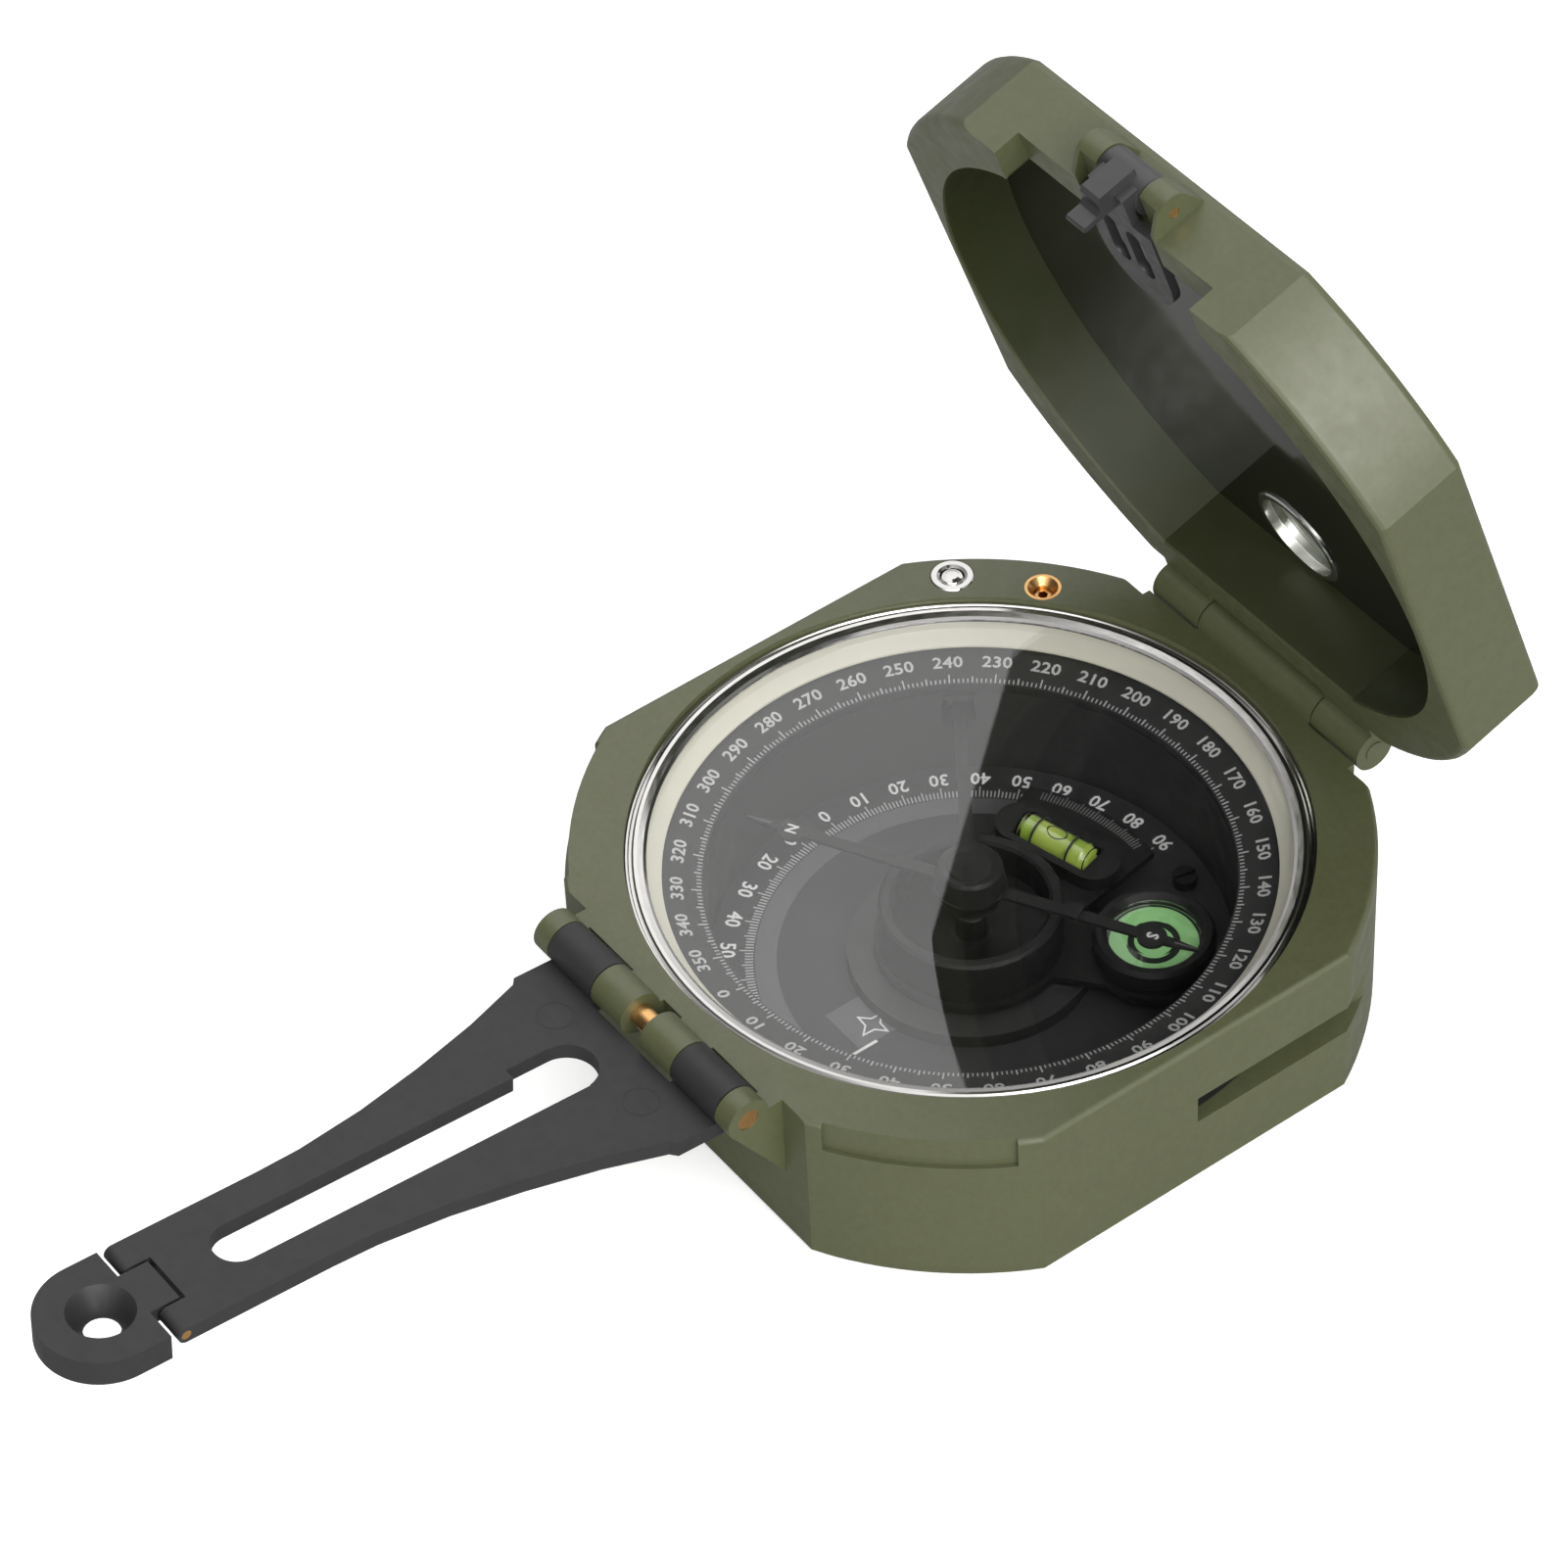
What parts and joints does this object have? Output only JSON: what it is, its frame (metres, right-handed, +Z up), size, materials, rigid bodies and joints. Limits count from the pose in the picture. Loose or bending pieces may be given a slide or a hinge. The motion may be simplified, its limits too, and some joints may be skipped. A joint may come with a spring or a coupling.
{
  "type": "sighting compass",
  "caption": "Pocket sighting compass: mirror lid, folding slotted sight arm with peep, liquid levels on a clinometer arm, turning azimuth ring.",
  "frame": {"origin": "centre of the flat underside of the case, on the needle's axis", "axes": "+Z up through the dial glass, +Y towards the lid hinge, the sight arm at -Y"},
  "size_m": [0.071, 0.1552, 0.0953],
  "materials": {
    "green_paint": "satin olive paint on cast aluminium",
    "green_paint_pin": "satin olive paint on steel",
    "dial_black": "matt black anodised",
    "ring_black": "matt black anodised with white figures",
    "white_mark": "matt white",
    "ivory": "satin ivory",
    "gasket": "matt",
    "clear_glass": "clear polished",
    "vial_glass": "clear polished",
    "bright_chrome": "polished",
    "brass": "satin",
    "steel": "plain",
    "level_yellow": "clear yellow-green liquid",
    "level_bubble": "air bubble",
    "level_green": "mint green disc",
    "level_green_clear": "clear green liquid",
    "needle_black": "matt black steel with white tips",
    "arm_black": "matt black anodised",
    "mirror": "polished mirror glass"
  },
  "bodies": {
    "case": {"case_body": "green_paint", "scale_plate": "dial_black", "azimuth_index": "white_mark", "adjuster_bush": "brass", "ivory_ring": "ivory", "glass_gasket": "gasket", "crystal": "clear_glass", "bezel_ring": "bright_chrome", "arm_hinge_pin": "brass", "lift_bush": "bright_chrome", "lift_spring": "steel", "lever_pin": "steel", "lever_screw": "steel"},
    "azimuth": {"azimuth_ring": "ring_black"},
    "adjuster": {"adjuster_pinion": "brass"},
    "lift_button": {"lift_pin": "bright_chrome"},
    "lift_arm": {"lift_lever": "arm_black"},
    "clinometer": {"clino_shaft": "steel", "clino_lever": "green_paint", "clino_washer": "brass", "vernier_plate": "dial_black", "damping_cup": "dial_black", "tube_bracket": "dial_black", "tube_vial": "vial_glass", "tube_liquid": "level_yellow", "tube_bubble": "level_bubble", "bull_housing": "dial_black", "bull_disc": "level_green", "bull_liquid": "level_green_clear", "bull_lens": "clear_glass", "pivot_post": "steel"},
    "needle": {"needle_blade": "needle_black", "needle_hub": "needle_black", "needle_weight": "needle_black"},
    "arm": {"sight_arm": "arm_black", "peep_pin": "brass"},
    "peep": {"peep_sight": "arm_black"},
    "lid": {"lid_shell": "green_paint", "mirror_plate": "mirror", "window_ring": "bright_chrome", "window_glass": "clear_glass", "lid_hinge_pin": "green_paint_pin", "lid_sight_pin": "brass"},
    "small_sight": {"lid_sight": "arm_black"}
  },
  "joints": [
    {"name": "lid_hinge", "type": "hinge", "parent": "case", "child": "lid", "pos_m": [0, 0.0387, 0.0193], "axis": [-1, 0, 0], "range_deg": [-71.5, 78.5]},
    {"name": "small_sight_hinge", "type": "hinge", "parent": "lid", "child": "small_sight", "pos_m": [0, 0.02059, 0.09264], "axis": [-1, 0, 0], "range_deg": [0, 120]},
    {"name": "arm_hinge", "type": "hinge", "parent": "case", "child": "arm", "pos_m": [0, -0.03906, 0.0191], "axis": [1, 0, 0], "range_deg": [-175.5, 45]},
    {"name": "peep_hinge", "type": "hinge", "parent": "arm", "child": "peep", "pos_m": [0, -0.09606, 0.02138], "axis": [-1, 0, 0], "range_deg": [0, 95]},
    {"name": "needle_spin", "type": "hinge", "parent": "case", "child": "needle", "pos_m": [0, 0, 0.0123], "axis": [0, 0, 1], "continuous": true},
    {"name": "clinometer_turn", "type": "hinge", "parent": "case", "child": "clinometer", "pos_m": [0, 0, 0.004], "axis": [0, 0, 1], "range_deg": [-15, 160]},
    {"name": "azimuth_turn", "type": "hinge", "parent": "case", "child": "azimuth", "pos_m": [0, 0, 0.0135], "axis": [0, 0, 1], "range_deg": [-50, 50]},
    {"name": "adjuster_turn", "type": "hinge", "parent": "case", "child": "adjuster", "pos_m": [-0.02333, 0.02781, 0.014], "axis": [0, 0, 1], "range_deg": [-700, 700]},
    {"name": "lift_push", "type": "slide", "parent": "case", "child": "lift_button", "axis": [0, 0, 1], "range_m": [-0.00035, 0], "stiffness_N_per_m": 600, "springref_m": 0.0006, "deforming": ["lift_spring"]},
    {"name": "lift_tilt", "type": "hinge", "parent": "case", "child": "lift_arm", "pos_m": [-0.02285, 0.01618, 0.01045], "axis": [-0.5779, -0.8161, 0], "range_deg": [0, 2.2]}
  ],
  "couplings": [
    {"joint": "adjuster_turn", "follows": "azimuth_turn", "ratio": -14},
    {"joint": "lift_tilt", "follows": "lift_push", "rad_per_m": -106.38}
  ]
}
